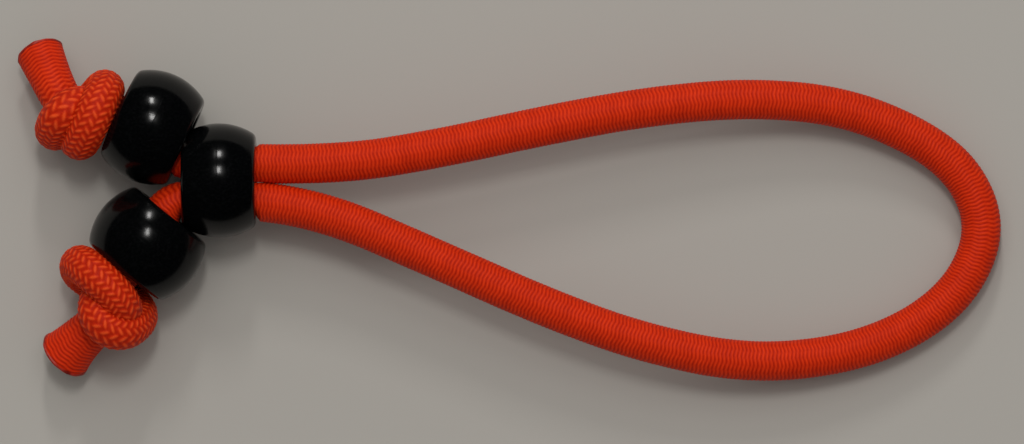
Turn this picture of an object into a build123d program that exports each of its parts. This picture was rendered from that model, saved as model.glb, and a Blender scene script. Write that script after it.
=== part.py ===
from build123d import *
import math
import os

# Cord lock: a slider bead on both strands of a knotted elastic loop, with an end bead and an
# overhand knot on each cut end. Millimetres, +Z up, origin at the slider bead's centre,
# +X along the slide towards the loop. The table is at Z = -4.5.

os.makedirs("parts", exist_ok=True)

# ---- beads: one moulded barrel bead, used three times ----
BEAD_OUTER_R = 4.5      # at the middle of the barrel
BEAD_BULGE_R = 5.0      # curve of the barrel's side, seen along its length
BEAD_HALF_LENGTH = 2.9
BEAD_LIP = 0.6          # rounding of the outer end corner
BEAD_BORE_R = 2.6
BEAD_MOUTH = 0.3        # rounding of the bore's mouth

# ---- cord: braided jacket over a rubber core ----
CORD_R = 1.575
JACKET_BORE_R = 1.2
CORE_R = 1.15
LEAD_JACKET_BORE_R = 0.94   # the core is narrowed where the cord is pinched in the beads
LEAD_CORE_R = 0.90
BODY_GAP = 0.05             # trimmed off each cord end where the next stretch moves on its own
SQUEEZE_GAP = 0.02          # half the gap between the two strands pressed together in the slider
BEAD_CLEARANCE = 0.03       # between a bead and the cord pressed against it

# ---- where the two end beads sit: centre, and the unit axis pointing back towards the slider ----
UPPER_BEAD = Vector(-5.23, 4.175, 0)
UPPER_AXIS = Vector(math.cos(math.radians(-25)), math.sin(math.radians(-25)), 0)
LOWER_BEAD = Vector(-5.64, -4.955, 0)
LOWER_AXIS = Vector(math.cos(math.radians(51)), math.sin(math.radians(51)), 0)

# ---- cord routes ----
# Knots are written in their bead's own frame: X towards the bead from its outer face,
# Y across (turned a quarter left of X), Z up.
UPPER_KNOT = [
    (0.9, -0.1, 0.0), (-2.1, -0.5, 0.0), (-3.4, -1.0, 2.1), (-4.0, -2.5, 2.2),
    (-4.05, -3.8, -0.4), (-3.5, -2.6, -2.9), (-2.5, -0.7, -2.9), (-2.0, 0.9, -1.6),
    (-1.65, 1.3, 1.2), (-1.55, -0.1, 2.9), (-1.55, -2.0, 2.9), (-1.7, -3.6, 1.3),
    (-2.3, -2.9, -0.5), (-3.7, -1.6, -0.5), (-5.5, -0.4, -0.7), (-7.7, 1.55, -0.8),
]
LOWER_KNOT = [
    (0.9, 0.1, -0.1), (-1.8, 0.2, -0.3), (-3.4, 0.1, 1.6), (-4.3, -1.4, 2.3),
    (-3.7, -3.0, 1.8), (-2.0, -3.3, -0.5), (-1.6, -1.9, -2.9), (-2.1, 0.6, -2.9),
    (-2.3, 2.8, -1.5), (-1.6, 3.2, 1.1), (-1.5, 1.8, 2.9), (-1.6, -0.4, 2.9),
    (-2.2, -2.0, 1.7), (-3.0, -1.5, -0.5), (-5.2, -0.7, -0.8), (-8.4, -0.05, -0.75),
]
# The lump each knot makes: its heart, and its two outer turns as (centre, radius, lean).
UPPER_HEART = ((-2.7, -1.3, 0), 2.3)
UPPER_RINGS = [((-1.65, -1.2, 0.1), 2.45, 0), ((-3.5, -1.5, -0.1), 2.3, -14)]
LOWER_HEART = ((-2.5, -0.3, 0), 2.35)
LOWER_RINGS = [((-1.63, 0.5, 0.1), 2.45, 0), ((-3.0, -0.9, -0.1), 2.3, 16)]
# Through the slider and the end beads, from the loop side back to each knot.
UPPER_LEAD = [(3.2, 1.443, 0), (-2.0, 1.38, 0), (-4.7, 2.45, 0)]
LOWER_LEAD = [(3.2, -1.742, 0), (-2.0, -1.38, 0), (-4.3, -2.0, 0)]
# The loop, once round: out along the upper strand, round the tip, back along the lower one.
LOOP = [
    (3.2, 1.443, 0), (9.6, 1.52, 0), (17.5, 2.55, 0), (25.5, 4.30, 0), (33.5, 5.80, -0.2),
    (41.5, 6.55, -1.0), (49.0, 5.95, -1.9), (55.3, 3.75, -2.5), (58.9, 0.6, -2.8),
    (60.3, -3.4, -2.9), (58.7, -7.9, -2.9), (55.2, -11.5, -2.8), (49.4, -13.8, -2.4),
    (41.5, -14.5, -1.5), (33.0, -12.7, -0.6), (25.5, -9.9, -0.1), (17.5, -6.35, 0),
    (7.2, -2.02, 0), (3.2, -1.742, 0),
]


def bead(grow=0.0):
    """A barrel bead lying along X at the origin; grow fattens it all round for cutting."""
    half = BEAD_HALF_LENGTH + grow
    bore = BEAD_BORE_R - grow
    drop = BEAD_BULGE_R - math.sqrt(BEAD_BULGE_R ** 2 - BEAD_HALF_LENGTH ** 2)
    side = BEAD_OUTER_R - drop + grow
    outline = make_face([
        Line((-half, bore), (-half, side)),
        ThreePointArc((-half, side), (0, BEAD_OUTER_R + grow), (half, side)),
        Line((half, side), (half, bore)),
        Line((half, bore), (-half, bore)),
    ])
    outer = [v for v in outline.vertices() if v.Y > side - 0.01]
    outline = fillet(outer, BEAD_LIP)
    inner = [v for v in outline.vertices() if v.Y < bore + 0.01]
    outline = fillet(inner, BEAD_MOUTH)
    return revolve(outline, Axis.X)


def placed_bead(centre, axis, grow=0.0):
    """The bead turned in the table plane so that it lies along axis, about its centre."""
    angle = math.degrees(math.atan2(axis.Y, axis.X))
    return Pos(centre.X, centre.Y, centre.Z) * Rot(0, 0, angle) * bead(grow)


def from_bead(points, centre, axis):
    """Knot points out of their bead's frame into the shared one."""
    across = Vector(-axis.Y, axis.X, 0)
    face = centre - axis * BEAD_HALF_LENGTH
    return [tuple(face + axis * p[0] + across * p[1] + Vector(0, 0, p[2])) for p in points]


def along(a, b, share):
    """The point a given share of the way along a run."""
    return tuple(a[k] + (b[k] - a[k]) * share for k in range(3))


def middle(a, b):
    """The point halfway along a run."""
    return along(a, b, 0.5)


def trimmed(points, at_start, at_end):
    """A route with its two ends pulled in along their own runs."""
    first, second = Vector(*points[0]), Vector(*points[1])
    last, before = Vector(*points[-1]), Vector(*points[-2])
    start = first + (second - first).normalized() * at_start
    end = last + (before - last).normalized() * at_end
    return [tuple(start)] + list(points[1:-1]) + [tuple(end)]


def corner_radii(points):
    """Bend radius at each inner point: 0.45 of the shorter run over tan of half the turn."""
    radii = []
    for a, b, c in zip(points, points[1:], points[2:]):
        run_in, run_out = Vector(*b) - Vector(*a), Vector(*c) - Vector(*b)
        half_turn = math.radians(run_in.get_angle(run_out)) / 2
        radii.append(0.45 * min(run_in.length, run_out.length) / math.tan(half_turn))
    return radii


def centreline(points):
    """Straight runs joined by tangent arcs; a two-point route is one run."""
    if len(points) == 2:
        return Line(points[0], points[1])
    return FilletPolyline(*points, radius=corner_radii(points))


def tube(points, outer_r, inner_r=0.0):
    """A round section swept along a route, hollow when inner_r is given."""
    path = centreline(points)
    start = Plane(origin=path @ 0, z_dir=path % 0)
    section = Circle(outer_r) - Circle(inner_r) if inner_r else Circle(outer_r)
    return sweep(start * section, path=path)


def ring(centre, radius, lean):
    """One upright round turn of cord about the bead's axis, leaning in the table plane."""
    return Pos(*centre) * Rot(0, 0, lean) * Rot(0, 90, 0) * Torus(radius, CORD_R)


def keep(shape, node):
    """Write one solid under its node name."""
    solids = shape.solids()
    if len(solids) != 1:
        print("WARNING", node, "has", len(solids), "solids")
        shape = max(solids, key=lambda s: s.volume)
    else:
        shape = solids[0]
    export_step(shape, "parts/" + node + ".step")
    print(node, "volume", round(shape.volume, 2))


def plain_stretch(points, name, at_start=0.0, at_end=0.0):
    """Jacket and core of a free stretch of cord."""
    route = trimmed(points, at_start, at_end)
    radii = [round(r, 1) for r in corner_radii(route)]
    print(name, "length", round(centreline(route).length, 2), "radii", radii)
    keep(tube(route, CORD_R, JACKET_BORE_R), name + "_jacket")
    keep(tube(route, CORE_R), name + "_core")


def knot_stretch(first, points, name, heart, heart_r, rings, centre, axis):
    """A knot in its bead's frame: its turns press into each other, so it is one closed lump."""
    print(name, "length", round(centreline(points).length, 2), "radii",
          [round(r, 1) for r in corner_radii(points)])
    lump = ring(*rings[0]) + ring(*rings[1]) + Pos(*heart) * Sphere(heart_r)
    lump = lump + tube(points[:2], CORD_R) + tube(points[-3:], CORD_R)
    lump = lump - tube([first, points[0]], CORD_R + BEAD_CLEARANCE)
    face = centre - axis * BEAD_HALF_LENGTH
    place = Pos(face.X, face.Y, face.Z) * Rot(0, 0, math.degrees(math.atan2(axis.Y, axis.X)))
    keep(place * lump, name)


def lead_stretch(points, name, centre, axis, side):
    """Cord through slider and end bead: pressed flat against the beads and its twin strand."""
    print(name, "length", round(centreline(points).length, 2), "radii",
          [round(r, 1) for r in corner_radii(points)])
    half = Pos(0, side * (20 + SQUEEZE_GAP), 0) * Box(60, 40, 40)
    jacket = tube(points, CORD_R) & half
    jacket = jacket - bead(BEAD_CLEARANCE) - placed_bead(centre, axis, BEAD_CLEARANCE)
    keep(jacket - tube(points, LEAD_JACKET_BORE_R), name + "_jacket")
    keep(tube(points, LEAD_CORE_R), name + "_core")


# ---- beads ----
keep(bead(), "slider_bead")
keep(placed_bead(UPPER_BEAD, UPPER_AXIS), "upper_end_bead")
keep(placed_bead(LOWER_BEAD, LOWER_AXIS), "lower_end_bead")

# ---- cord ends: lead through the beads, knot, cut tail ----
for name, knot, heart, rings, lead, centre, axis, side in (
    ("upper", UPPER_KNOT, UPPER_HEART, UPPER_RINGS, UPPER_LEAD, UPPER_BEAD, UPPER_AXIS, 1),
    ("lower", LOWER_KNOT, LOWER_HEART, LOWER_RINGS, LOWER_LEAD, LOWER_BEAD, LOWER_AXIS, -1),
):
    entry = along(knot[0], knot[1], 0.35)
    leaving = middle(knot[-2], knot[-1])
    ends = from_bead([knot[0], entry, leaving, knot[-1]], centre, axis)
    lead_stretch(list(lead) + ends[:2], name + "_lead", centre, axis, side)
    knot_stretch(knot[0], [entry] + knot[1:-1] + [leaving], name + "_knot", heart[0], heart[1],
                 rings, centre, axis)
    plain_stretch(ends[2:], name + "_tail")

# ---- the loop, one stretch for each part that swings on its own when the slider moves ----
upper_joint = middle(LOOP[3], LOOP[4])
tip_joint = middle(LOOP[9], LOOP[10])
lower_joint = middle(LOOP[14], LOOP[15])
near_joint = middle(LOOP[15], LOOP[16])
print("joints", upper_joint, tip_joint, lower_joint, near_joint)
plain_stretch(LOOP[:4] + [upper_joint], "upper_strand", BODY_GAP, BODY_GAP)
plain_stretch([upper_joint] + LOOP[4:10] + [tip_joint], "upper_bight", BODY_GAP, BODY_GAP)
plain_stretch([tip_joint] + LOOP[10:15] + [lower_joint], "lower_bight", BODY_GAP, BODY_GAP)
plain_stretch([lower_joint, LOOP[15], near_joint], "lower_far_strand", BODY_GAP, BODY_GAP)
plain_stretch([near_joint] + LOOP[16:], "lower_strand", BODY_GAP, BODY_GAP)
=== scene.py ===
import math

import bmesh
import bpy
import numpy as np
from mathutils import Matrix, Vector


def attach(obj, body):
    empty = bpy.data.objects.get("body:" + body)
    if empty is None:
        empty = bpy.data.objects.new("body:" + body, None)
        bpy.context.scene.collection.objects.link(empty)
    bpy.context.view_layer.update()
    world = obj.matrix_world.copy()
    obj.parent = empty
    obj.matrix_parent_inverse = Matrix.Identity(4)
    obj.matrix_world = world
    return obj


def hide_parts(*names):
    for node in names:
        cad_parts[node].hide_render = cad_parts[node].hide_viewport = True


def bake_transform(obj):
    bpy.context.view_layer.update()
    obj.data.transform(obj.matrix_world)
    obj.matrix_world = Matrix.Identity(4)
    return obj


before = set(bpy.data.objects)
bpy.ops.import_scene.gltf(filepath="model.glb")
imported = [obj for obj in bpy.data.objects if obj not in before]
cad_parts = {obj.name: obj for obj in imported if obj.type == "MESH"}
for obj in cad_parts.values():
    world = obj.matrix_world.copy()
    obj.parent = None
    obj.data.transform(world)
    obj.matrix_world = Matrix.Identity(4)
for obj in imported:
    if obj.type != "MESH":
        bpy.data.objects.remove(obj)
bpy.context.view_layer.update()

MM = 0.001
TABLE_Z = -4.5 * MM

# ---- the cord's route in metres: the CAD's points, a few of them moved by less than 2 mm ----
UPPER_BEAD = Vector((-0.00523, 0.004175, 0))
UPPER_AXIS = Vector((math.cos(math.radians(-25)), math.sin(math.radians(-25)), 0))
LOWER_BEAD = Vector((-0.00564, -0.004955, 0))
LOWER_AXIS = Vector((math.cos(math.radians(51)), math.sin(math.radians(51)), 0))
BEAD_HALF_LENGTH = 0.0029
# Knots in their bead's frame: X towards the bead from its outer face, Y across, Z up.
UPPER_KNOT = [
    (0.0009, -0.0001, 0.0), (-0.0021, -0.0005, 0.0), (-0.0034, -0.0010, 0.0021),
    (-0.0040, -0.0025, 0.0022), (-0.00405, -0.0038, -0.0004), (-0.0035, -0.0026, -0.0029),
    (-0.0025, -0.0007, -0.0029), (-0.0020, 0.0009, -0.0016), (-0.00165, 0.0013, 0.0012),
    (-0.00155, -0.0001, 0.0029), (-0.00155, -0.0020, 0.0029), (-0.0017, -0.0036, 0.0013),
    (-0.0023, -0.0029, -0.0005), (-0.0037, -0.0016, -0.0005), (-0.0055, -0.0004, -0.0007),
    (-0.00778, 0.00156, -0.0024),
]
LOWER_KNOT = [
    (0.0009, 0.0001, -0.0001), (-0.0018, 0.0002, -0.0003), (-0.0034, 0.0001, 0.0016),
    (-0.0043, -0.0014, 0.0023), (-0.0037, -0.0030, 0.0018), (-0.0020, -0.0033, -0.0005),
    (-0.0016, -0.0019, -0.0029), (-0.0021, 0.0006, -0.0029), (-0.0023, 0.0028, -0.0015),
    (-0.0016, 0.0032, 0.0011), (-0.0015, 0.0018, 0.0029), (-0.0016, -0.0004, 0.0029),
    (-0.0022, -0.0020, 0.0017), (-0.0030, -0.0015, -0.0005), (-0.0052, -0.0007, -0.0008),
    (-0.00815, -0.0004, -0.0025),
]
UPPER_LEAD = [(-0.0020, 0.00138, 0), (-0.0047, 0.00245, 0)]
LOWER_LEAD = [(-0.0020, -0.00138, 0), (-0.0043, -0.0020, 0)]
LOOP = [
    (0.0096, 0.00124, 0), (0.0175, 0.00255, 0), (0.0255, 0.0043, 0), (0.0335, 0.0058, -0.0002),
    (0.0415, 0.00655, -0.0010), (0.0490, 0.00595, -0.0019), (0.0551, 0.00355, -0.0025),
    (0.0589, 0.0006, -0.0028), (0.0606, -0.0036, -0.0029), (0.0590, -0.0081, -0.0029),
    (0.0552, -0.0115, -0.0028), (0.0494, -0.0138, -0.0024), (0.0415, -0.0145, -0.0015),
    (0.0330, -0.0127, -0.0006), (0.0255, -0.0099, -0.0001), (0.0175, -0.00635, 0),
    (0.0072, -0.00190, 0),
]

CORD_R = 1.575 * MM
CORE_R = 1.15 * MM
BORE_ROOM = 2.57 * MM       # how far from a bead's axis the cord in its bore can reach
UPPER_SPREAD = 0.20         # how much wider the sheath is at each cut end
LOWER_SPREAD = 0.38
TAIL_LENGTH = 4.5 * MM      # from a cut end to its knot

# ---- the braid ----
RING_STEP = 0.055 * MM      # between rings of the cord's mesh, fine enough for the braid
AROUND = 72                 # points in a ring
CARRIERS = 16               # columns of yarn side by side round the cord
PITCH = 0.31 * MM           # from one rib to the next along the cord
YARN_REACH = 0.66 * MM      # how far a column's yarn reaches to each side of its middle
RELIEF = 0.085 * MM         # depth of the grooves between the ribs
LEAN = math.tan(math.radians(9))
KNOT_STRETCH = 0.35         # how much further apart the ribs sit in the knots
KNOT_LEAN = 1.6             # and how much more they lean
KNOT_EASE = 0.875 * MM      # how gradually the braid changes where a knot meets its bead
TAIL_EASE = 0.75 * MM       # and where it meets its tail

# ---- the cut ends ----
THREAD_R = 0.24 * MM
THREAD_RINGS = ((0.50 * MM, 6), (0.98 * MM, 12))    # radius and count, round one in the middle
RIM_TURNS = 96              # steps round the melted rim
RIM_SIDES = 14              # steps round its section


def from_bead(points, centre, axis):
    """Knot points out of their bead's frame into the shared one."""
    across = Vector((-axis.y, axis.x, 0))
    face = centre - axis * BEAD_HALF_LENGTH
    return [face + axis * p[0] + across * p[1] + Vector((0, 0, p[2])) for p in points]


def route_points():
    """The whole cord, from the upper cut end to the lower one."""
    upper = from_bead(UPPER_KNOT, UPPER_BEAD, UPPER_AXIS)[::-1]
    lower = from_bead(LOWER_KNOT, LOWER_BEAD, LOWER_AXIS)
    points = upper + UPPER_LEAD[::-1] + LOOP + LOWER_LEAD + lower
    return [Vector(p) for p in points]


def spline_line(points):
    """Points along the NURBS spline that has the route's points as its control points."""
    curve = bpy.data.curves.new("route", "CURVE")
    curve.dimensions = "3D"
    curve.resolution_u = 24
    spline = curve.splines.new("NURBS")
    spline.points.add(len(points) - 1)
    for target, p in zip(spline.points, points):
        target.co = (*p, 1)
    spline.order_u = 3
    spline.use_endpoint_u = True
    holder = bpy.data.objects.new("route", curve)
    bpy.context.scene.collection.objects.link(holder)
    bpy.context.view_layer.update()
    mesh = bpy.data.meshes.new_from_object(holder)
    line = np.array([v.co for v in mesh.vertices])
    bpy.data.objects.remove(holder)
    bpy.data.meshes.remove(mesh)
    return line


class Line:
    """The cord's centreline by arc length, with a frame that does not spin along it."""

    def __init__(self, raw):
        steps = np.linalg.norm(np.diff(raw, axis=0), axis=1)
        along = np.concatenate([[0], np.cumsum(steps)])
        self.length = along[-1]
        count = int(self.length / RING_STEP) + 1
        self.s = np.linspace(0, self.length, count)
        self.p = np.stack([np.interp(self.s, along, raw[:, k]) for k in range(3)], 1)
        tangent = np.gradient(self.p, axis=0)
        width = 9
        kernel = np.ones(width) / width
        padded = np.pad(tangent, ((width // 2, width // 2), (0, 0)), mode="edge")
        tangent = np.stack([np.convolve(padded[:, k], kernel, "valid") for k in range(3)], 1)
        self.t = tangent / np.linalg.norm(tangent, axis=1)[:, None]
        normal = np.zeros_like(self.t)
        start = np.cross([0, 0, 1.0], self.t[0])
        normal[0] = start / np.linalg.norm(start)
        for k in range(1, count):
            n = normal[k - 1] - self.t[k] * np.dot(normal[k - 1], self.t[k])
            normal[k] = n / np.linalg.norm(n)
        self.n = normal
        self.b = np.cross(self.t, self.n)

    def nearest(self, point):
        """Arc length of the place nearest a point."""
        return self.s[np.argmin(np.linalg.norm(self.p - np.array(point), axis=1))]


def stretch_along(line, upper_knot_end, lower_knot_start):
    """How loose the braid is along the cord: 1 in the knots, 0 elsewhere."""
    upper = 1 / (1 + np.exp((line.s - upper_knot_end) / KNOT_EASE))
    lower = 1 / (1 + np.exp((lower_knot_start - line.s) / KNOT_EASE))
    upper_tail = 1 / (1 + np.exp((line.s - TAIL_LENGTH) / TAIL_EASE))
    lower_tail = 1 / (1 + np.exp((line.length - TAIL_LENGTH - line.s) / TAIL_EASE))
    return np.clip(upper - upper_tail, 0, 1) + np.clip(lower - lower_tail, 0, 1)


def braid_height(phase, angle, radius, lean, pitch, loose):
    """Height, 0 to 1, of the braid: ribs that zigzag round the cord, grains where it is loose."""
    best = np.zeros_like(angle + phase)
    spacing = 2 * math.pi / CARRIERS
    for column in range(CARRIERS):
        away = (angle - column * spacing + math.pi) % (2 * math.pi) - math.pi
        across = away * radius
        odd = column % 2
        step = phase + (lean if odd else -lean) * -across / pitch + odd * (0.13 + 0.37 * loose)
        ridge = 0.5 + 0.5 * np.cos(2 * math.pi * step)
        span = np.clip(1 - (across / (YARN_REACH * (1 - 0.36 * loose))) ** 2, 0, 1)
        best = np.maximum(best, np.sqrt(span) * (0.42 + 0.58 * ridge ** (0.7 + 0.5 * loose)))
    return best


def soft_noise(x, seed):
    """Smooth wandering between -1 and 1, the same every run."""
    rng = np.random.default_rng(seed)
    total = np.zeros_like(x)
    for octave, size in enumerate((0.35, 0.9, 2.1)):
        total += np.sin(x * size + rng.uniform(0, 6.28)) / (octave + 1)
    return total / 1.8


def eased(share):
    """A share cut to 0..1 and smoothed at both ends."""
    share = np.clip(share, 0, 1)
    return share * share * (3 - 2 * share)


def pressed_in_bead(points, centres, centre, axis):
    """Presses the rings that pass a bead into its bore, easing in and out at its mouths."""
    axis, centre = np.array(axis), np.array(centre)
    along = (points - centre) @ axis
    across = points - centre - along[..., None] * axis
    reach = np.linalg.norm(across, axis=-1)
    middle_along = (centres - centre) @ axis
    middle_reach = np.linalg.norm(centres - centre - middle_along[:, None] * axis, axis=-1)
    passes = (middle_reach < BORE_ROOM) & (np.abs(middle_along) < BEAD_HALF_LENGTH + 2 * CORD_R)
    inside = eased((BEAD_HALF_LENGTH + 0.45 * MM - np.abs(along)) / (0.7 * MM))
    inside = inside * passes[:, None]
    wanted = np.minimum(reach, BORE_ROOM) / np.maximum(reach, 1e-9)
    return points - across * ((1 - wanted) * inside)[..., None]


def parted(points, centres):
    """Presses the two strands flat against each other inside the slider."""
    near = np.abs(centres[:, 1]) < BORE_ROOM
    inside = eased((BEAD_HALF_LENGTH + 1.4 * MM - np.abs(points[..., 0])) / (1.2 * MM))
    inside = inside * near[:, None]
    side = np.sign(centres[:, 1])[:, None]
    split = -0.15 * MM * eased((points[..., 0] + 2 * MM) / (5 * MM))
    flat = split + np.maximum((points[..., 1] - split) * side, 0.02 * MM) * side
    points[..., 1] += (flat - points[..., 1]) * inside
    return points


def swelling(distance, spread):
    """The sheath opens out towards its cut end, then turns in over the melted rim."""
    slack = 0.06 * eased(1 - distance / (5.5 * MM))
    opened = 1 + slack + (spread - 0.06) * np.exp(-distance / (1.9 * MM))
    rim = 0.12 * np.exp(-((distance / (0.16 * MM)) ** 2))
    return opened - rim


def braided_radius(line, stretch, angle):
    """The cord's radius at every ring and angle, and the height of the braid there."""
    step = line.s[1] - line.s[0]
    loose = stretch[:, None]
    pitch = PITCH * (1 + KNOT_STRETCH * loose)
    phase = np.cumsum(1 / (PITCH * (1 + KNOT_STRETCH * stretch)))[:, None] * step
    phase = phase + 0.10 * soft_noise(line.s / MM * 2.3, 5)[:, None]
    twist = 0.10 * soft_noise(line.s / MM * 0.5, 9)[:, None]
    lean = LEAN * (1 + KNOT_LEAN * loose)
    height = braid_height(phase, angle + twist, CORD_R, lean, pitch, loose)
    radius = CORD_R - RELIEF * (1 - height) * (1 + 0.45 * loose)
    radius = radius * (1 + 0.006 * soft_noise(line.s / MM * 1.1, 3)[:, None])
    opened = swelling(line.s, UPPER_SPREAD) * swelling(line.length - line.s, LOWER_SPREAD)
    return radius * opened[:, None], height


def cord_surface(line, stretch):
    """The whole cord's surface: points, outward normals, the braid's height and its looseness."""
    angle = np.linspace(0, 2 * math.pi, AROUND, endpoint=False)[None, :]
    radius, height = braided_radius(line, stretch, angle)
    offset = np.cos(angle)[..., None] * line.n[:, None] + np.sin(angle)[..., None] * line.b[:, None]
    points = line.p[:, None] + radius[..., None] * offset
    points = pressed_in_bead(points, line.p, (0, 0, 0), (1, 0, 0))
    points = parted(points, line.p)
    points = pressed_in_bead(points, line.p, UPPER_BEAD, UPPER_AXIS)
    points = pressed_in_bead(points, line.p, LOWER_BEAD, LOWER_AXIS)
    points[..., 2] = np.maximum(points[..., 2], TABLE_Z + 0.01 * MM)
    round_it = np.roll(points, -1, axis=1) - np.roll(points, 1, axis=1)
    normals = np.cross(round_it, np.gradient(points, axis=0))
    normals /= np.maximum(np.linalg.norm(normals, axis=-1), 1e-12)[..., None]
    return points, normals, height, stretch[:, None] + 0 * height


def cord_piece(name, line, surface, first, last):
    """One stretch of the cord's surface as a mesh, from one ring to another."""
    points, normals, height, loose = (part[first:last + 1] for part in surface)
    rings = last - first + 1
    k = np.arange(rings - 1)[:, None] * AROUND
    j = np.arange(AROUND)[None, :]
    j2 = (j + 1) % AROUND
    quads = np.stack([k + j, k + j2, k + AROUND + j2, k + AROUND + j], -1).reshape(-1, 4)
    mesh = bpy.data.meshes.new(name)
    mesh.from_pydata(points.reshape(-1, 3).tolist(), [], quads.tolist())
    # relief holds the braid's height, which the sheath's painted shade follows.
    for title, values in (("relief", height), ("loose", loose)):
        layer = mesh.attributes.new(title, "FLOAT", "POINT")
        layer.data.foreach_set("value", values.reshape(-1).astype(np.float32))
    turn = np.broadcast_to(j / AROUND, (rings - 1, AROUND))
    v = np.broadcast_to(line.s[first:last + 1, None] / (2 * math.pi * CORD_R), (rings, AROUND))
    corners = [(turn, v[:-1]), (turn + 1 / AROUND, v[:-1]), (turn + 1 / AROUND, v[1:]), (turn, v[1:])]
    uv = np.stack([np.stack(corner, -1) for corner in corners], 2)
    layer = mesh.uv_layers.new(name="UVMap")
    layer.data.foreach_set("uv", uv.reshape(-1).astype(np.float32))
    mesh.polygons.foreach_set("use_smooth", [True] * len(quads))
    mesh.update()
    mesh.normals_split_custom_set_from_vertices(normals.reshape(-1, 3).tolist())
    obj = bpy.data.objects.new(name, mesh)
    bpy.context.scene.collection.objects.link(obj)
    return obj


def cut_end(name, line, at_start):
    """A cut end: the core's rubber threads, and the sheath melted to an uneven ring round them."""
    k = 0 if at_start else len(line.s) - 1
    out = line.t[k] * (-1 if at_start else 1)
    centre, n, b = line.p[k], line.n[k], line.b[k]
    end_radius = CORD_R * (1 + (UPPER_SPREAD if at_start else LOWER_SPREAD))
    rng = np.random.default_rng(11 if at_start else 23)
    bm = bmesh.new()
    spots = [(0.0, 0.0)]
    for ring, count in THREAD_RINGS:
        for i in range(count):
            a = 2 * math.pi * (i + 0.5 * (count == 12)) / count
            spots.append((ring * math.cos(a), ring * math.sin(a)))
    for u, v in spots:
        top = rng.uniform(-0.22, -0.06) * MM
        u, v = u + rng.uniform(-0.03, 0.03) * MM, v + rng.uniform(-0.03, 0.03) * MM
        thread(bm, centre + n * u + b * v, out, n, b, THREAD_R, top, 1.4 * MM)
    core = finish_mesh(bm, name + "_threads")
    return core, melted_rim(name + "_sealed_rim", centre, out, n, b, end_radius, rng)


def melted_rim(name, centre, out, n, b, end_radius, rng):
    """The sheath's cut edge, melted into an uneven ring that fills in round the core."""
    waves = [(count, rng.uniform(0, 2 * math.pi)) for count in (3, 5, 8, 13)]
    bm = bmesh.new()
    loops = []
    for i in range(RIM_TURNS):
        a = 2 * math.pi * i / RIM_TURNS
        wave = sum(math.sin(count * a + start) for count, start in waves) / 4
        ray = n * math.cos(a) + b * math.sin(a)
        major = (end_radius + CORE_R) / 2 + 0.03 * MM * wave
        width = (end_radius - CORE_R) / 2
        minor = (0.20 + 0.05 * wave) * MM
        loop = []
        for m in range(RIM_SIDES):
            c = 2 * math.pi * m / RIM_SIDES
            lift = minor * math.sin(c) - 0.08 * MM
            spot = centre + ray * (major + width * math.cos(c)) + out * lift
            loop.append(bm.verts.new(spot))
        loops.append(loop)
    for here, there in zip(loops, loops[1:] + loops[:1]):
        for m in range(RIM_SIDES):
            m2 = (m + 1) % RIM_SIDES
            bm.faces.new((here[m], here[m2], there[m2], there[m]))
    return finish_mesh(bm, name)


def thread(bm, centre, out, n, b, radius, top, depth):
    """One rubber thread: a short round rod with a domed cut face."""
    rows = [(-depth, 1.0), (top - 0.05 * MM, 1.0), (top - 0.015 * MM, 0.88), (top, 0.55)]
    loops = []
    for height, share in rows:
        loop = []
        for i in range(12):
            a = 2 * math.pi * i / 12
            spot = centre + out * height + (n * math.cos(a) + b * math.sin(a)) * radius * share
            loop.append(bm.verts.new(spot))
        loops.append(loop)
    for low, high in zip(loops, loops[1:]):
        for i in range(12):
            bm.faces.new((low[i], low[(i + 1) % 12], high[(i + 1) % 12], high[i]))
    bm.faces.new(loops[-1])
    bm.faces.new(loops[0][::-1])


def finish_mesh(bm, name):
    """A named object from a bmesh, with outward normals and smooth faces."""
    bmesh.ops.recalc_face_normals(bm, faces=bm.faces[:])
    mesh = bpy.data.meshes.new(name)
    bm.to_mesh(mesh)
    bm.free()
    mesh.polygons.foreach_set("use_smooth", [True] * len(mesh.polygons))
    obj = bpy.data.objects.new(name, mesh)
    bpy.context.scene.collection.objects.link(obj)
    return obj


# ---- beads ----
BEAD_OUTER_R = 4.5 * MM
BEAD_BULGE_R = 5.0 * MM
BEAD_LIP = 0.6 * MM
BEAD_BORE_R = 2.6 * MM
BEAD_MOUTH = 0.3 * MM


def bead_outline():
    """Half the bead's section, from the middle of the barrel round the lip into the bore."""
    half = BEAD_HALF_LENGTH
    middle_y = BEAD_OUTER_R - BEAD_BULGE_R
    lip_x = half - BEAD_LIP
    lip_y = middle_y + math.sqrt((BEAD_BULGE_R - BEAD_LIP) ** 2 - lip_x ** 2)
    meet = math.atan2(lip_x, lip_y - middle_y)
    points = []
    for i in range(25):
        a = meet * i / 24
        points.append((BEAD_BULGE_R * math.sin(a), middle_y + BEAD_BULGE_R * math.cos(a)))
    for i in range(1, 17):
        a = meet + (math.pi / 2 - meet) * i / 16
        points.append((lip_x + BEAD_LIP * math.sin(a), lip_y + BEAD_LIP * math.cos(a)))
    mouth_x, mouth_y = half - BEAD_MOUTH, BEAD_BORE_R + BEAD_MOUTH
    for i in range(0, 9):
        a = math.pi / 2 * i / 8
        points.append((mouth_x + BEAD_MOUTH * math.cos(a), mouth_y - BEAD_MOUTH * math.sin(a)))
    for i in range(1, 6):
        points.append((mouth_x * (1 - i / 5), BEAD_BORE_R))
    return points


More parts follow.
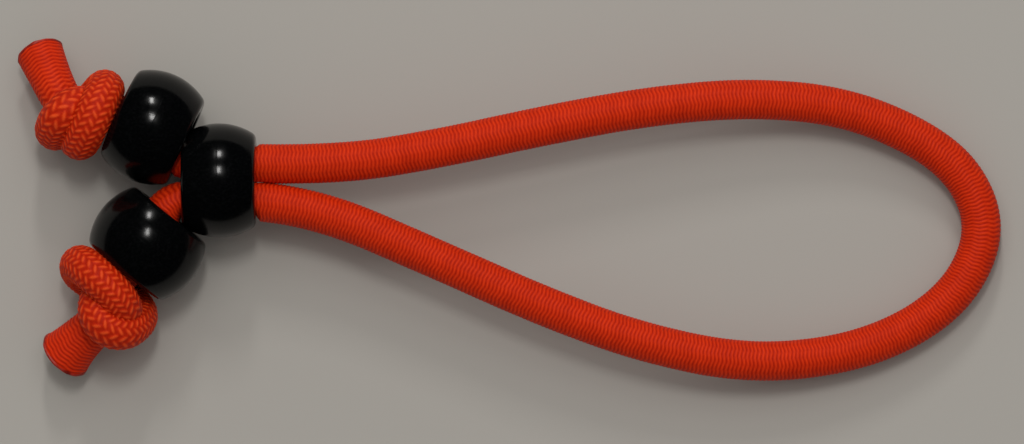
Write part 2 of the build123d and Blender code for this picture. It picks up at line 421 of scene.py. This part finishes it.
def bead_piece(name, centre, axis, spin, node, body):
    """A moulded bead turned about its axis, with its faint parting line round the middle."""
    half = bead_outline()
    outline = half + [(-x, y) for x, y in half[-2:0:-1]]
    across = Vector((-axis.y, axis.x, 0))
    up = Vector((0, 0, 1))
    bm = bmesh.new()
    loops = []
    count = 128
    for i in range(count):
        a = 2 * math.pi * i / count + spin
        ray = across * math.cos(a) + up * math.sin(a)
        loops.append([bm.verts.new(centre + axis * x + ray * y) for x, y in outline])
    size = len(outline)
    for i in range(count):
        here, there = loops[i], loops[(i + 1) % count]
        for k in range(size):
            k2 = (k + 1) % size
            bm.faces.new((here[k], here[k2], there[k2], there[k]))
    obj = finish_mesh(bm, name)
    obj.data.materials.append(bead_material(name, centre, axis))
    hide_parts(node)
    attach(obj, body)
    return obj


# ---- materials ----
def nodes_of(material):
    """An empty node tree with its shader and output."""
    material.use_nodes = True
    tree = material.node_tree
    tree.nodes.clear()
    shader = tree.nodes.new("ShaderNodeBsdfPrincipled")
    output = tree.nodes.new("ShaderNodeOutputMaterial")
    tree.links.new(shader.outputs["BSDF"], output.inputs["Surface"])
    return tree, shader


def noise(tree, vector, scale, detail=3.0, rough=0.5):
    """A noise texture on a vector."""
    node = tree.nodes.new("ShaderNodeTexNoise")
    node.inputs["Scale"].default_value = scale
    node.inputs["Detail"].default_value = detail
    node.inputs["Roughness"].default_value = rough
    tree.links.new(vector, node.inputs["Vector"])
    return node.outputs["Fac"]


def ramp(tree, value, stops):
    """A colour ramp over a value; stops are (place, colour)."""
    node = tree.nodes.new("ShaderNodeValToRGB")
    node.color_ramp.elements[0].position = stops[0][0]
    node.color_ramp.elements[0].color = (*stops[0][1], 1)
    node.color_ramp.elements[1].position = stops[-1][0]
    node.color_ramp.elements[1].color = (*stops[-1][1], 1)
    for place, colour in stops[1:-1]:
        node.color_ramp.elements.new(place).color = (*colour, 1)
    tree.links.new(value, node.inputs["Fac"])
    return node.outputs["Color"]


def scaled(tree, vector, scale):
    """A vector multiplied by a scale on each axis."""
    node = tree.nodes.new("ShaderNodeMapping")
    node.inputs["Scale"].default_value = scale
    tree.links.new(vector, node.inputs["Vector"])
    return node.outputs["Vector"]


def mixed(tree, share, a, b, kind="MIX"):
    """Two colours mixed by a share."""
    node = tree.nodes.new("ShaderNodeMix")
    node.data_type = "RGBA"
    node.blend_type = kind
    if isinstance(share, float):
        node.inputs["Factor"].default_value = share
    else:
        tree.links.new(share, node.inputs["Factor"])
    tree.links.new(a, node.inputs[6])
    tree.links.new(b, node.inputs[7])
    return node.outputs[2]


def bump(tree, height, strength, distance, normal=None):
    """A bump from a height."""
    node = tree.nodes.new("ShaderNodeBump")
    node.inputs["Strength"].default_value = strength
    node.inputs["Distance"].default_value = distance
    tree.links.new(height, node.inputs["Height"])
    if normal is not None:
        tree.links.new(normal, node.inputs["Normal"])
    return node.outputs["Normal"]


def scaled_value(tree, value, factor):
    """A value multiplied by a factor."""
    node = tree.nodes.new("ShaderNodeMath")
    node.operation = "MULTIPLY"
    node.inputs[1].default_value = factor
    tree.links.new(value, node.inputs[0])
    return node.outputs[0]


def attribute(tree, name):
    """A value stored on the mesh."""
    node = tree.nodes.new("ShaderNodeAttribute")
    node.attribute_name = name
    return node.outputs["Fac"]


def braid_material():
    """Orange-red polyester yarn with painted shade deepening from the rib tops into the grooves
    between them, fine fibres over both.
    """
    material = bpy.data.materials.new("braided_sheath")
    tree, shader = nodes_of(material)
    uv = tree.nodes.new("ShaderNodeUVMap")
    uv.uv_map = "UVMap"
    relief = attribute(tree, "relief")
    loose = attribute(tree, "loose")
    fibres = noise(tree, scaled(tree, uv.outputs["UV"], (30, 330, 1)), 1.0, 2.0)
    patches = noise(tree, scaled(tree, uv.outputs["UV"], (5, 9, 1)), 1.0, 3.0)
    # Painted shade: the tight braid's colour darkens from the rib tops down into the grooves.
    taut_painted_shade = ramp(tree, relief, [
        (0.25, (0.38, 0.0090, 0.0008)),
        (0.60, (0.60, 0.0200, 0.0014)),
        (0.97, (0.86, 0.0480, 0.0048)),
    ])
    # Painted shade: the looser braid in the knots darkens the same way from its grains into the
    # grooves.
    slack = ramp(tree, relief, [
        (0.25, (0.42, 0.0120, 0.0008)),
        (0.62, (0.62, 0.0240, 0.0018)),
        (0.92, (0.90, 0.0900, 0.0150)),
    ])
    yarn = mixed(tree, loose, taut_painted_shade, slack)
    streak = ramp(tree, fibres, [(0.30, (0.80, 0.70, 0.66)), (0.70, (1.0, 1.0, 1.0))])
    cloud = ramp(tree, patches, [(0.30, (0.86, 0.78, 0.75)), (0.72, (1.0, 1.0, 1.0))])
    colour = mixed(tree, 1.0, yarn, streak, "MULTIPLY")
    colour = mixed(tree, 1.0, colour, cloud, "MULTIPLY")
    tree.links.new(colour, shader.inputs["Base Color"])
    gloss = ramp(tree, fibres, [(0.2, (0.62, 0.62, 0.62)), (0.8, (0.44, 0.44, 0.44))])
    tree.links.new(gloss, shader.inputs["Roughness"])
    shader.inputs["Specular IOR Level"].default_value = 0.10
    shader.inputs["Sheen Weight"].default_value = 0.03
    shader.inputs["Sheen Roughness"].default_value = 0.4
    shader.inputs["Sheen Tint"].default_value = (1.0, 0.45, 0.25, 1)
    tree.links.new(bump(tree, fibres, 0.35, 0.00003), shader.inputs["Normal"])
    return material


def melted_material():
    """Polyester melted by a hot blade: deep red-brown, half glossy, blotched."""
    material = bpy.data.materials.new("melted_sheath")
    tree, shader = nodes_of(material)
    place = tree.nodes.new("ShaderNodeTexCoord").outputs["Object"]
    blotch = noise(tree, place, 1500.0, 4.0, 0.6)
    colour = ramp(tree, blotch, [(0.30, (0.13, 0.005, 0.002)), (0.52, (0.34, 0.011, 0.002)),
                                 (0.75, (0.52, 0.020, 0.004))])
    tree.links.new(colour, shader.inputs["Base Color"])
    gloss = ramp(tree, blotch, [(0.3, (0.30, 0.30, 0.30)), (0.7, (0.55, 0.55, 0.55))])
    tree.links.new(gloss, shader.inputs["Roughness"])
    tree.links.new(bump(tree, blotch, 0.4, 0.00005), shader.inputs["Normal"])
    return material


def rubber_material():
    """Pale latex thread with a dusty, slightly mottled face."""
    material = bpy.data.materials.new("rubber_threads")
    tree, shader = nodes_of(material)
    place = tree.nodes.new("ShaderNodeTexCoord").outputs["Object"]
    mottle = noise(tree, place, 2600.0, 3.0)
    colour = ramp(tree, mottle, [(0.3, (0.42, 0.33, 0.23)), (0.7, (0.66, 0.56, 0.42))])
    tree.links.new(colour, shader.inputs["Base Color"])
    shader.inputs["Roughness"].default_value = 0.62
    tree.links.new(bump(tree, mottle, 0.3, 0.00003), shader.inputs["Normal"])
    return material


def bead_material(name, centre, axis):
    """Glossy black moulded plastic: a hairline parting line, hairline rubs and faint dust."""
    material = bpy.data.materials.new("black_bead_" + name)
    tree, shader = nodes_of(material)
    place = tree.nodes.new("ShaderNodeTexCoord").outputs["Object"]
    turned = tree.nodes.new("ShaderNodeMapping")
    turned.vector_type = "TEXTURE"
    turned.inputs["Location"].default_value = centre
    turned.inputs["Rotation"].default_value = (0, 0, math.atan2(axis.y, axis.x))
    tree.links.new(place, turned.inputs["Vector"])
    local = turned.outputs["Vector"]
    apart = tree.nodes.new("ShaderNodeSeparateXYZ")
    tree.links.new(local, apart.inputs["Vector"])
    seam = tree.nodes.new("ShaderNodeMath")
    seam.operation = "ABSOLUTE"
    tree.links.new(apart.outputs["X"], seam.inputs[0])
    line = ramp(tree, scaled_value(tree, seam.outputs[0], 9000.0),
                [(0.0, (1, 1, 1)), (0.5, (0.15, 0.15, 0.15)), (1.0, (0, 0, 0))])
    rubs = noise(tree, scaled(tree, local, (900, 260, 260)), 1.0, 5.0, 0.65)
    dust = noise(tree, local, 5200.0, 2.0)
    tone = ramp(tree, dust, [(0.45, (0.0010, 0.0012, 0.0014)), (0.78, (0.0032, 0.0034, 0.0038))])
    tree.links.new(tone, shader.inputs["Base Color"])
    wear = ramp(tree, rubs, [(0.35, (0.13, 0.13, 0.13)), (0.75, (0.24, 0.24, 0.24))])
    tree.links.new(wear, shader.inputs["Roughness"])
    shader.inputs["IOR"].default_value = 1.49
    shader.inputs["Specular IOR Level"].default_value = 0.22
    first = bump(tree, rubs, 0.10, 0.00004)
    second = bump(tree, line, 0.12, 0.00003, first)
    tree.links.new(second, shader.inputs["Normal"])
    return material


# ---- build the cord, in five pieces ----
line = Line(spline_line(route_points()))
slider_upper = line.nearest((0.0032, 0.00144, 0))
slider_lower = line.nearest((0.0032, -0.00174, 0))
upper_knot_end = line.nearest(UPPER_BEAD - UPPER_AXIS * 0.0035)
lower_knot_start = line.nearest(LOWER_BEAD - LOWER_AXIS * 0.0035)
stretch = stretch_along(line, upper_knot_end, lower_knot_start)
surface = cord_surface(line, stretch)
END_REACH = 17.2 * MM       # how far past the slider the two end pieces go
SIDE_REACH = 30.3 * MM      # how far the next piece on each side goes on
cut_at = [
    0.0,
    slider_upper + END_REACH,
    slider_upper + END_REACH + SIDE_REACH,
    slider_lower - END_REACH - SIDE_REACH,
    slider_lower - END_REACH,
    line.length,
]
cuts = [int(np.argmin(np.abs(line.s - at))) for at in cut_at]
braid = braid_material()
PIECES = [
    ("upper_end_cord", ("upper_tail_jacket", "upper_knot", "upper_lead_jacket", "upper_lead_core",
                        "upper_strand_jacket", "upper_strand_core"),
     ("cord_ends", "upper_strand"), "bare"),
    ("upper_side_cord", ("upper_strand_jacket", "upper_strand_core", "upper_bight_jacket",
                         "upper_bight_core"), ("upper_strand", "upper_bight"), "object"),
    ("loop_tip_cord", ("upper_bight_jacket", "upper_bight_core", "lower_bight_jacket",
                       "lower_bight_core"), ("upper_bight", "lower_bight"), "object"),
    ("lower_side_cord", ("lower_bight_jacket", "lower_bight_core", "lower_far_strand_jacket",
                         "lower_far_strand_core", "lower_strand_jacket", "lower_strand_core"),
     ("lower_bight", "lower_far_strand"), "object"),
    ("lower_end_cord", ("lower_strand_jacket", "lower_strand_core", "lower_lead_jacket",
                        "lower_lead_core", "lower_knot", "lower_tail_jacket"),
     ("cord_ends", "lower_strand"), "bare"),
]
for k, (name, stands_for, bodies, far) in enumerate(PIECES):
    obj = cord_piece(name, line, surface, cuts[k], cuts[k + 1])
    obj.data.materials.append(braid)
    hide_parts(*stands_for)
    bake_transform(obj)
rubber = rubber_material()
melted = melted_material()
for side, at_start in (("upper", True), ("lower", False)):
    core, rim = cut_end(side + "_cut_end", line, at_start)
    core.data.materials.append(rubber)
    rim.data.materials.append(melted)
    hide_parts(side + "_tail_core")
    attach(core, "cord_ends")
    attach(rim, "cord_ends")

bead_piece("slider_barrel", Vector((0, 0, 0)), Vector((1, 0, 0)), 0.4, "slider_bead", "slider")
bead_piece("upper_end_barrel", UPPER_BEAD, UPPER_AXIS, 1.1, "upper_end_bead", "upper_bead")
bead_piece("lower_end_barrel", LOWER_BEAD, LOWER_AXIS, 2.3, "lower_end_bead", "lower_bead")


# ---- floor, light and camera ----
def floor():
    """A plain pale table top."""
    mesh = bpy.data.meshes.new("floor")
    size = 2.0
    mesh.from_pydata([(-size, -size, TABLE_Z), (size, -size, TABLE_Z),
                      (size, size, TABLE_Z), (-size, size, TABLE_Z)], [], [(0, 1, 2, 3)])
    obj = bpy.data.objects.new("floor", mesh)
    bpy.context.scene.collection.objects.link(obj)
    material = bpy.data.materials.new("floor")
    tree, shader = nodes_of(material)
    shader.inputs["Base Color"].default_value = (0.420, 0.402, 0.372, 1)
    shader.inputs["Roughness"].default_value = 0.85
    shader.inputs["Specular IOR Level"].default_value = 0.1
    mesh.materials.append(material)


def area_light(name, place, target, size, energy, colour):
    """A rectangular light aimed at a point."""
    data = bpy.data.lights.new(name, "AREA")
    data.shape = "RECTANGLE"
    data.size, data.size_y = size
    data.energy = energy
    data.color = colour
    obj = bpy.data.objects.new(name, data)
    obj.location = place
    obj.rotation_euler = (Vector(target) - Vector(place)).to_track_quat("-Z", "Y").to_euler()
    bpy.context.scene.collection.objects.link(obj)
    return obj


def from_above(distance, tilt):
    """A place at a distance from the part, tilted from straight up towards +Y."""
    t = math.radians(tilt)
    return (0.01, distance * math.sin(t), distance * math.cos(t))


floor()
world = bpy.data.worlds.new("studio")
world.use_nodes = True
world.node_tree.nodes["Background"].inputs["Color"].default_value = (1.0, 0.985, 0.96, 1)
world.node_tree.nodes["Background"].inputs["Strength"].default_value = 0.30
bpy.context.scene.world = world
world.cycles_visibility.glossy = False
WARM = (1.0, 0.985, 0.96)
area_light("window_high", from_above(0.6, 21), (0.01, 0, 0), (0.055, 0.120), 0.74, WARM)
area_light("window_low", from_above(0.6, 55), (0.01, 0, 0), (0.055, 0.120), 0.74, WARM)
ceiling = area_light("ceiling", from_above(0.9, 24), (0.02, 0, 0), (0.9, 0.7), 2.4, WARM)
ceiling.visible_glossy = False

camera_data = bpy.data.cameras.new("camera")
camera = bpy.data.objects.new("camera", camera_data)
bpy.context.scene.collection.objects.link(camera)
MIDDLE = Vector((0.02307, -0.00327, 0))
DISTANCE = 0.60
VIEW_WIDTH = 80.63 * MM     # of the table, across the picture
SENSOR_WIDTH = 36
camera_data.sensor_width = SENSOR_WIDTH
camera_data.lens = SENSOR_WIDTH * DISTANCE / VIEW_WIDTH
camera_data.clip_start = 0.01
camera.location = MIDDLE + Vector((0, 0, DISTANCE))
camera.rotation_euler = (0, 0, 0)
bpy.context.scene.camera = camera
bpy.context.scene.view_settings.view_transform = "Standard"
